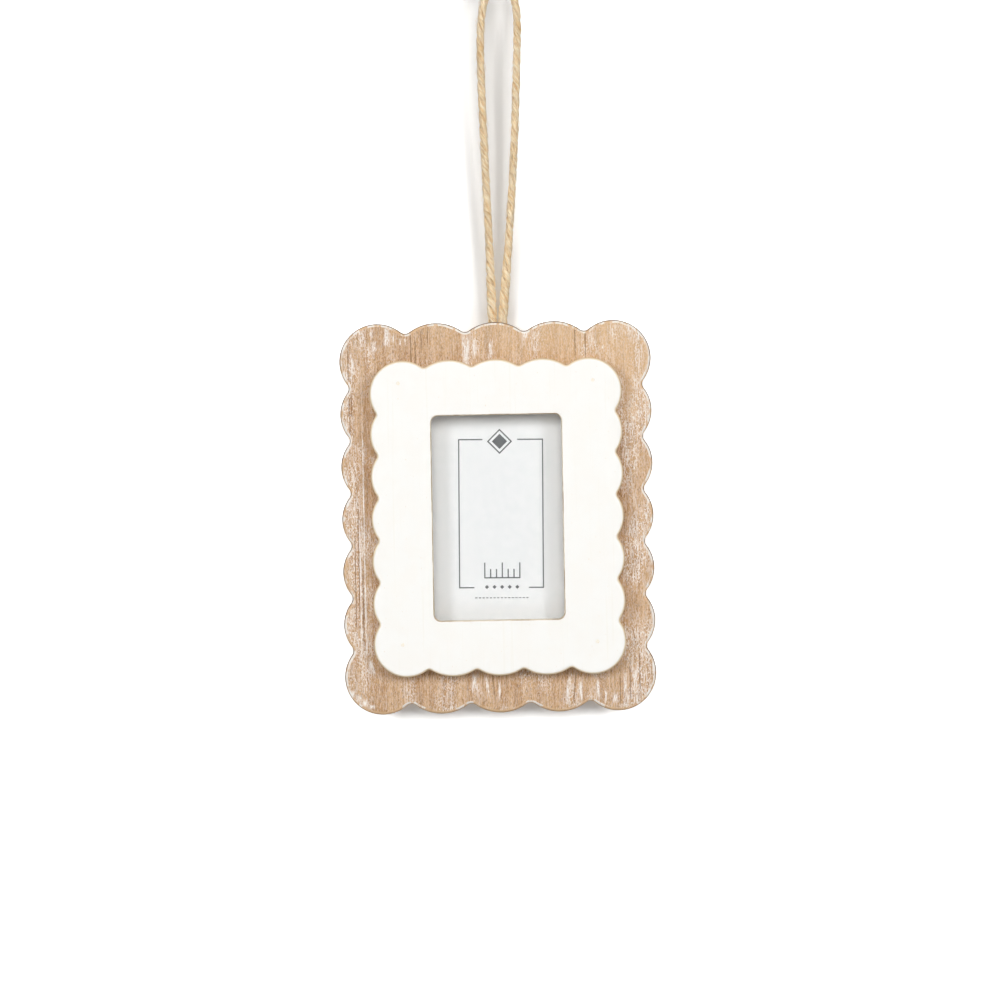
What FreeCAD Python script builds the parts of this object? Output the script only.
"""Scalloped wooden photo frame ornament on a jute twine loop.

Two scalloped boards are glued face to face. The larger one carries a pocket for the
glass, the card and the backing panel, and the smaller one in front of it frames them.
The row frame has its origin at the hook point, inside the top of the twine loop, with
+Z up and the front of the ornament facing -Y. Lengths are in millimetres.
"""
import FreeCAD, Part
import math
import os

V = FreeCAD.Vector

# Where the boards hang below the hook point
loop_height = 114.9           # hook point down to the top edge of the back board
hook_offset = 3.9             # the boards' centre line lies this far left of the hook
twine_plane_y = 5.0           # the twine behind the boards, measured from the hook point

# Back board, natural wood
back_width = 106.4
back_height = 133.5
back_thickness = 6.0
back_lobe_radius = 12.9       # the round corners
back_lobe_span_x = 22.98      # a round corner's share of the top and bottom
back_lobe_span_z = 21.88      # and of the two sides; the scallops divide the rest
back_notch_radius = 2.4       # bottom of each notch between two scallops
back_notch_depth_x = 3.2      # along the top and bottom
back_notch_depth_z = 3.05     # along the two sides
back_easing = 1.1             # sanded edge at the front
back_rear_easing = 0.4        # a chamfer

# Front board, painted
front_width = 85.8
front_height = 107.5
front_thickness = 5.0
front_lobe_radius = 11.3
front_lobe_span_x = 19.0
front_lobe_span_z = 17.85
front_notch_radius = 1.4
front_notch_depth_x = 2.2
front_notch_depth_z = 2.2
front_easing = 1.1

# Both outlines have as many scallops between their round corners
scallops_across = 3
scallops_down = 5

# The photo card sets the pocket and the window
card_width = 50.8
card_height = 76.2
card_thickness = 0.4
window_lip = 3.2              # how far the front board overlaps the card on each side
window_corner_radius = 2.4
window_easing = 0.4
pocket_clearance = 0.5        # round the glass, the card and the panel
pocket_corner_radius = 1.0
glass_thickness = 2.0
stack_gap = 0.05              # between the layers in the pocket
panel_recess = 0.25           # the panel lies this far inside the back face
panel_easing = 0.3            # a chamfer

# Turn buttons, which swing over the panel and hold it in
button_reach = 13.5           # pivot to the tip
button_pivot_setback = 6.2    # pivot outwards from the pocket's wall
button_hub_radius = 4.0
button_tip_radius = 2.6
button_thickness = 0.9
button_play = 0.06            # under the button and under the screw's head
button_bore_clearance = 0.08
button_lift_length = 2.2      # the bent-up finger tip
button_lift_angle = 32.0
button_bend_radius = 1.0

# Pan-head wood screws of the turn buttons
screw_shank_radius = 1.2
screw_head_radius = 2.6
screw_head_height = 1.5
screw_rim_height = 0.5
screw_depth = 4.4             # into the back board
screw_tip_length = 1.6
screw_crown_share = 0.45      # flat top of the head, as a share of its radius
screw_crown_bulge = (0.28, 0.2)  # of the arc's middle beyond its chord, outwards and up
screw_slot_width = 0.55
screw_slot_depth = 0.9
screw_slot_top_share = 0.55   # half length of the cross at the top, as a share of the head's radius
screw_slot_foot_share = 0.15  # and at its foot
pilot_clearance = 0.04

# Brads through the corners of the front board
brad_shank_radius = 0.4
brad_head_radius = 0.6
brad_head_height = 0.6
brad_set_depth = 0.08         # heads are set this far below the paint
brad_length = 9.6
brad_tip_length = 1.5
brad_side_inset = 9.9         # in from the front board's sides
brad_top_inset = 7.75         # upper pair, down from its top
brad_bottom_inset = 11.15     # lower pair, up from its bottom
brad_clearance = 0.03

# Twine and its staple
twine_diameter = 2.6
twine_clearance = 0.12        # to the board and under the staple
staple_drop = 12.1            # crown below the top edge of the back board
staple_shift = 1.0            # right of the boards' centre line
staple_width = 9.6
staple_wire_thickness = 0.6
staple_wire_width = 1.3
staple_corner_radius = 0.9
staple_leg_depth = 4.4
staple_point_length = 0.8
staple_slot_clearance = 0.03

# The twine's route, from the left end up over the hook and down to the right end
twine_route = [
    (-4.75, twine_plane_y, -loop_height - 18.5),
    (-4.35, twine_plane_y, -loop_height - 9.7),
    (-4.62, twine_plane_y - 0.03, -loop_height + 4.5),
    (-5.12, 3.75, -87.0),
    (-6.38, 2.10, -52.2),
    (-7.12, 1.00, -24.2),
    (-6.60, 0.30, -8.8),
    (-3.40, 0.00, twine_diameter / 2),
    (3.40, 0.00, twine_diameter / 2),
    (6.10, 0.25, -8.4),
    (5.40, 1.10, -25.6),
    (4.10, 2.30, -54.6),
    (1.50, 3.80, -88.4),
    (-0.75, twine_plane_y - 0.05, -loop_height + 4.7),
    (-1.60, twine_plane_y, -loop_height - 9.0),
    (-1.15, twine_plane_y, -loop_height - 17.8),
]
arc_share = 0.45              # each arc's tangent length over its shorter run

cut_margin = 0.1              # a cutting tool reaches this far past the face that it cuts

# Places that follow from the sizes above
centre_x = -hook_offset
centre_z = -loop_height - back_height / 2
back_face_y = twine_plane_y - twine_diameter / 2 - twine_clearance
joint_face_y = back_face_y - back_thickness
front_face_y = joint_face_y - front_thickness
window_width = card_width - 2 * window_lip
window_height = card_height - 2 * window_lip
pocket_width = card_width + 2 * pocket_clearance
pocket_height = card_height + 2 * pocket_clearance
glass_y = joint_face_y + stack_gap
card_y = glass_y + glass_thickness + stack_gap
panel_y = card_y + card_thickness + stack_gap
panel_thickness = back_face_y - panel_recess - panel_y
pivot_x = pocket_width / 2 + button_pivot_setback
staple_x = centre_x + staple_shift
staple_z = -loop_height - staple_drop
crown_y = back_face_y + twine_diameter + 2 * twine_clearance


def outline_discs(width, height, lobe_radius, span_x, span_z, notch_radius, depth_x, depth_z):
    """Return the convex arcs of a scalloped outline as (centre, radius, outward direction)."""
    reach_x = width / 2 - lobe_radius
    reach_z = height / 2 - lobe_radius
    pitch_x = (width - 2 * span_x) / scallops_across
    pitch_z = (height - 2 * span_z) / scallops_down
    radius_x = ((pitch_x / 2) ** 2 + depth_x ** 2) / (2 * depth_x) - notch_radius
    radius_z = ((pitch_z / 2) ** 2 + depth_z ** 2) / (2 * depth_z) - notch_radius
    discs = []
    for side in (1, -1):
        discs.append((V(-side * reach_x, 0, side * reach_z), lobe_radius, V(-side, 0, side)))
        for i in range(scallops_across):
            x = side * pitch_x * (i - (scallops_across - 1) / 2)
            discs.append((V(x, 0, side * (height / 2 - radius_x)), radius_x, V(0, 0, side)))
        discs.append((V(side * reach_x, 0, side * reach_z), lobe_radius, V(side, 0, side)))
        for i in range(scallops_down):
            z = side * pitch_z * ((scallops_down - 1) / 2 - i)
            discs.append((V(side * (width / 2 - radius_z), 0, z), radius_z, V(side, 0, 0)))
    return discs


def notch_centre(first, second, notch_radius):
    """Centre of the notch arc that touches two neighbouring discs from outside."""
    a = first[1] + notch_radius
    b = second[1] + notch_radius
    between = second[0] - first[0]
    span = between.Length
    along = between / span
    outward = along.cross(V(0, 1, 0))
    if outward.dot(first[2] + second[2]) < 0:
        outward = -outward
    foot = (a * a - b * b + span * span) / (2 * span)
    return first[0] + along * foot + outward * math.sqrt(a * a - foot * foot)


def scalloped_board(width, height, thickness, lobe_radius, span_x, span_z, notch_radius, depth_x, depth_z):
    """Solid board with a scalloped outline, centred on the Y axis, from y = 0 backwards."""
    discs = outline_discs(width, height, lobe_radius, span_x, span_z, notch_radius, depth_x, depth_z)
    count = len(discs)
    notches = [notch_centre(discs[i], discs[(i + 1) % count], notch_radius) for i in range(count)]
    edges = []
    for i in range(count):
        centre, radius, outward = discs[i]
        next_centre, next_radius, next_outward = discs[(i + 1) % count]
        before = notches[i - 1]
        after = notches[i]
        start = centre + (before - centre).normalize() * radius
        crest = centre + V(outward).normalize() * radius
        end = centre + (after - centre).normalize() * radius
        edges.append(Part.Arc(start, crest, end).toShape())
        next_start = next_centre + (after - next_centre).normalize() * next_radius
        deepest = after + ((end + next_start) / 2 - after).normalize() * notch_radius
        edges.append(Part.Arc(end, deepest, next_start).toShape())
    return Part.Face(Part.Wire(edges)).extrude(V(0, thickness, 0))


def edges_at_y(shape, y):
    """Edges that lie in the plane at y."""
    tolerance = 1e-4
    return [
        e for e in shape.Edges
        if abs(e.BoundBox.YMin - y) < tolerance and abs(e.BoundBox.YMax - y) < tolerance
    ]


def upright_block(width, height, thickness, corner_radius=0.0):
    """Block centred on the Y axis, from y = 0 backwards, with its corners rounded."""
    block = Part.makeBox(width, thickness, height, V(-width / 2, 0, -height / 2))
    if corner_radius > 0:
        corners = [e for e in block.Edges if e.BoundBox.YLength > thickness / 2]
        block = block.makeFillet(corner_radius, corners)
    return block


def revolved_about_y(points):
    """Solid of revolution about the Y axis from (radius, y) points."""
    corners = [V(r, y, 0) for r, y in points]
    return Part.Face(Part.makePolygon(corners + corners[:1])).revolve(V(0, 0, 0), V(0, 1, 0), 360)


def brad_places():
    spread = front_width / 2 - brad_side_inset
    rises = (front_height / 2 - brad_top_inset, brad_bottom_inset - front_height / 2)
    return [
        V(centre_x + side * spread, front_face_y, centre_z + rise)
        for rise in rises
        for side in (-1, 1)
    ]


def brad_shape(grow=0.0):
    """One brad, or with grow its hole, from the board's front face backwards."""
    head_start = 0.0 if grow else brad_set_depth
    head_end = brad_set_depth + brad_head_height + grow
    shank = brad_shank_radius + grow
    head = brad_head_radius + grow
    tip = brad_set_depth + brad_length + grow
    return revolved_about_y([
        (0, head_start),
        (head, head_start),
        (head, head_end),
        (shank, head_end),
        (shank, tip - brad_tip_length),
        (0, tip),
    ])


def screw_shape():
    """One pan-head screw with its axis on Y, its shank into -Y from the back face at y = 0."""
    shoulder = screw_tip_length - screw_depth
    seat = button_thickness + 2 * button_play
    rim = seat + screw_rim_height
    top = seat + screw_head_height
    crown_x = screw_head_radius * screw_crown_share
    bulge_out, bulge_up = screw_crown_bulge
    profile = [
        Part.LineSegment(V(0, -screw_depth, 0), V(screw_shank_radius, shoulder, 0)),
        Part.LineSegment(V(screw_shank_radius, shoulder, 0), V(screw_shank_radius, seat, 0)),
        Part.LineSegment(V(screw_shank_radius, seat, 0), V(screw_head_radius, seat, 0)),
        Part.LineSegment(V(screw_head_radius, seat, 0), V(screw_head_radius, rim, 0)),
        Part.Arc(
            V(screw_head_radius, rim, 0),
            V((screw_head_radius + crown_x) / 2 + bulge_out, (rim + top) / 2 + bulge_up, 0),
            V(crown_x, top, 0),
        ),
        Part.LineSegment(V(crown_x, top, 0), V(0, top, 0)),
        Part.LineSegment(V(0, top, 0), V(0, -screw_depth, 0)),
    ]
    face = Part.Face(Part.Wire([piece.toShape() for piece in profile]))
    screw = face.revolve(V(0, 0, 0), V(0, 1, 0), 360)
    arm_top = screw_head_radius * screw_slot_top_share
    arm_foot = screw_head_radius * screw_slot_foot_share
    above = top + cut_margin
    arm = Part.Face(Part.makePolygon([
        V(-arm_foot, top - screw_slot_depth, 0),
        V(arm_foot, top - screw_slot_depth, 0),
        V(arm_top, above, 0),
        V(-arm_top, above, 0),
        V(-arm_foot, top - screw_slot_depth, 0),
    ])).extrude(V(0, 0, screw_slot_width))
    arm.translate(V(0, 0, -screw_slot_width / 2))
    crossed = arm.copy()
    crossed.rotate(V(0, 0, 0), V(0, 1, 0), 90)
    return screw.cut(arm).cut(crossed)


def pilot_hole():
    """Hole for one screw, from the back face at y = 0 into -Y."""
    radius = screw_shank_radius + pilot_clearance
    deep = screw_depth + pilot_clearance
    return revolved_about_y([
        (0, -deep),
        (radius, screw_tip_length - deep),
        (radius, 0),
        (0, 0),
    ])


def turn_button():
    """Stamped button in the XZ plane, pivot on the Y axis, pointing along +X from y = 0."""
    tip_x = button_reach - button_tip_radius
    lean = math.asin((button_hub_radius - button_tip_radius) / tip_x)
    touch = V(math.sin(lean), 0, math.cos(lean))
    hub_up = touch * button_hub_radius
    tip_up = V(tip_x, 0, 0) + touch * button_tip_radius
    hub_down = V(hub_up.x, 0, -hub_up.z)
    tip_down = V(tip_up.x, 0, -tip_up.z)
    outline = Part.Wire([
        Part.LineSegment(hub_up, tip_up).toShape(),
        Part.Arc(tip_up, V(button_reach, 0, 0), tip_down).toShape(),
        Part.LineSegment(tip_down, hub_down).toShape(),
        Part.Arc(hub_down, V(-button_hub_radius, 0, 0), hub_up).toShape(),
    ])
    blank_height = button_thickness + button_lift_length + button_bend_radius
    blank = Part.Face(outline).extrude(V(0, blank_height, 0))
    angle = math.radians(button_lift_angle)
    outer = button_bend_radius + button_thickness
    bend_x = button_reach - button_lift_length - outer * math.sin(angle)
    ahead = V(math.cos(angle), math.sin(angle), 0) * (2 * button_lift_length)

    def bend_point(radius, turn):
        return V(bend_x + radius * math.sin(turn), outer - radius * math.cos(turn), 0)

    low_end = bend_point(outer, angle)
    high_end = bend_point(button_bend_radius, angle)
    bend_top = V(bend_x, button_thickness, 0)
    tail = -button_hub_radius - button_thickness
    side = Part.Face(Part.Wire([
        Part.LineSegment(V(tail, 0, 0), V(bend_x, 0, 0)).toShape(),
        Part.Arc(V(bend_x, 0, 0), bend_point(outer, angle / 2), low_end).toShape(),
        Part.LineSegment(low_end, low_end + ahead).toShape(),
        Part.LineSegment(low_end + ahead, high_end + ahead).toShape(),
        Part.LineSegment(high_end + ahead, high_end).toShape(),
        Part.Arc(high_end, bend_point(button_bend_radius, angle / 2), bend_top).toShape(),
        Part.LineSegment(bend_top, V(tail, button_thickness, 0)).toShape(),
        Part.LineSegment(V(tail, button_thickness, 0), V(tail, 0, 0)).toShape(),
    ])).extrude(V(0, 0, 2 * button_hub_radius))
    side.translate(V(0, 0, -button_hub_radius))
    bore = Part.makeCylinder(
        screw_shank_radius + button_bore_clearance,
        2 * button_thickness,
        V(0, -button_thickness / 2, 0),
        V(0, 1, 0),
    )
    return blank.common(side).cut(bore)


def staple_shape():
    """Wire staple in the XY plane about x = 0, with its crown across the twine."""
    half = staple_width / 2
    inner = half - staple_wire_thickness
    foot = back_face_y - staple_leg_depth
    point = foot + staple_point_length
    top = crown_y + staple_wire_thickness
    bar = Part.Face(Part.makePolygon([
        V(-half, foot, 0),
        V(-half, top, 0),
        V(half, top, 0),
        V(half, foot, 0),
        V(inner, point, 0),
        V(inner, crown_y, 0),
        V(-inner, crown_y, 0),
        V(-inner, point, 0),
        V(-half, foot, 0),
    ])).extrude(V(0, 0, staple_wire_width))
    bar.translate(V(0, 0, -staple_wire_width / 2))
    outer_bends = [
        e for e in bar.Edges
        if e.BoundBox.ZLength > staple_wire_width / 2 and e.BoundBox.YMin > top - staple_wire_thickness / 2
    ]
    return bar.makeFillet(staple_corner_radius, outer_bends)


def staple_slots():
    """The two slots that the staple's legs make in the back board."""
    wide = staple_wire_thickness + 2 * staple_slot_clearance
    deep = staple_leg_depth + staple_slot_clearance
    tall = staple_wire_width + 2 * staple_slot_clearance
    offset = (staple_width - staple_wire_thickness) / 2
    slots = [
        Part.makeBox(wide, deep, tall, V(side * offset - wide / 2, back_face_y - deep, -tall / 2))
        for side in (-1, 1)
    ]
    return Part.makeCompound(slots)


def route_wire(points):
    """Straight runs joined by tangent arcs; prints the arcs' radii and returns the wire."""
    points = [V(*p) for p in points]
    edges = []
    radii = []
    start = points[0]
    for i in range(1, len(points) - 1):
        before = points[i - 1] - points[i]
        after = points[i + 1] - points[i]
        reach = arc_share * min(before.Length, after.Length)
        turn = math.pi - before.getAngle(after)
        radius = reach / math.tan(turn / 2)
        leave = points[i] + before.normalize() * reach
        join = points[i] + after.normalize() * reach
        inward = (before + after).normalize()
        middle = points[i] + inward * (math.hypot(radius, reach) - radius)
        edges.append(Part.LineSegment(start, leave).toShape())
        edges.append(Part.Arc(leave, middle, join).toShape())
        radii.append(radius)
        start = join
    edges.append(Part.LineSegment(start, points[-1]).toShape())
    print("twine arc radii", [round(radius, 1) for radius in radii])
    return Part.Wire(edges)


def make_twine():
    path = route_wire(twine_route)
    direction = V(*twine_route[1]) - V(*twine_route[0])
    ring = Part.Wire(Part.makeCircle(twine_diameter / 2, V(*twine_route[0]), direction))
    tube = path.makePipeShell([ring], True, False)
    section = math.pi * twine_diameter ** 2 / 4
    print("twine length", round(path.Length, 1), "volume over section", round(tube.Volume / section, 1))
    return tube


def make_back_board():
    board = scalloped_board(
        back_width, back_height, back_thickness, back_lobe_radius, back_lobe_span_x,
        back_lobe_span_z, back_notch_radius, back_notch_depth_x, back_notch_depth_z,
    )
    board = board.makeFillet(back_easing, edges_at_y(board, 0))
    board = board.makeChamfer(back_rear_easing, edges_at_y(board, back_thickness))
    pocket = upright_block(pocket_width, pocket_height, 2 * back_thickness, pocket_corner_radius)
    pocket.translate(V(0, -back_thickness / 2, 0))
    board = board.cut(pocket)
    board.translate(V(centre_x, joint_face_y, centre_z))
    for place in brad_places():
        hole = brad_shape(brad_clearance)
        hole.translate(place)
        board = board.cut(hole)
    for side in (-1, 1):
        hole = pilot_hole()
        hole.translate(V(centre_x + side * pivot_x, back_face_y, centre_z))
        board = board.cut(hole)
    slots = staple_slots()
    slots.translate(V(staple_x, 0, staple_z))
    return board.cut(slots)


def make_front_board():
    board = scalloped_board(
        front_width, front_height, front_thickness, front_lobe_radius, front_lobe_span_x,
        front_lobe_span_z, front_notch_radius, front_notch_depth_x, front_notch_depth_z,
    )
    board = board.makeFillet(front_easing, edges_at_y(board, 0))
    window = upright_block(window_width, window_height, 2 * front_thickness, window_corner_radius)
    window.translate(V(0, -front_thickness / 2, 0))
    board = board.cut(window)
    rim = [
        e for e in edges_at_y(board, 0)
        if abs(e.CenterOfMass.x) < window_width / 2 + cut_margin
        and abs(e.CenterOfMass.z) < window_height / 2 + cut_margin
    ]
    board = board.makeFillet(window_easing, rim)
    board.translate(V(centre_x, front_face_y, centre_z))
    for place in brad_places():
        hole = brad_shape(brad_clearance)
        hole.translate(place)
        board = board.cut(hole)
    return board


def make_layer(width, height, thickness, y):
    layer = upright_block(width, height, thickness)
    layer.translate(V(centre_x, y, centre_z))
    return layer


def make_backing_panel():
    panel = upright_block(card_width, card_height, panel_thickness)
    panel = panel.makeChamfer(panel_easing, edges_at_y(panel, panel_thickness))
    panel.translate(V(centre_x, panel_y, centre_z))
    return panel


def make_turn_button(side):
    """side is -1 for the button on the left of the pocket as seen from the front, 1 for the right."""
    button = turn_button()
    if side > 0:
        button.rotate(V(0, 0, 0), V(0, 1, 0), 180)
    button.translate(V(centre_x + side * pivot_x, back_face_y + button_play, centre_z))
    return button


def make_button_screws():
    screws = []
    for side in (-1, 1):
        screw = screw_shape()
        screw.rotate(V(0, 0, 0), V(0, 1, 0), 25 + 40 * side)
        screw.translate(V(centre_x + side * pivot_x, back_face_y, centre_z))
        screws.append(screw)
    return Part.makeCompound(screws)


def make_corner_brads():
    brads = []
    for place in brad_places():
        brad = brad_shape()
        brad.translate(place)
        brads.append(brad)
    return Part.makeCompound(brads)


def make_twine_staple():
    staple = staple_shape()
    staple.translate(V(staple_x, 0, staple_z))
    return staple


nodes = {
    "back_board": make_back_board(),
    "front_board": make_front_board(),
    "window_glass": make_layer(card_width, card_height, glass_thickness, glass_y),
    "picture_card": make_layer(card_width, card_height, card_thickness, card_y),
    "backing_panel": make_backing_panel(),
    "turn_button_left": make_turn_button(-1),
    "turn_button_right": make_turn_button(1),
    "button_screws": make_button_screws(),
    "corner_brads": make_corner_brads(),
    "hanging_twine": make_twine(),
    "twine_staple": make_twine_staple(),
}

os.makedirs("parts", exist_ok=True)
for name, shape in nodes.items():
    print(name, "valid", shape.isValid(), "solids", len(shape.Solids), "volume", round(shape.Volume, 1))
    shape.exportStep("parts/" + name + ".step")
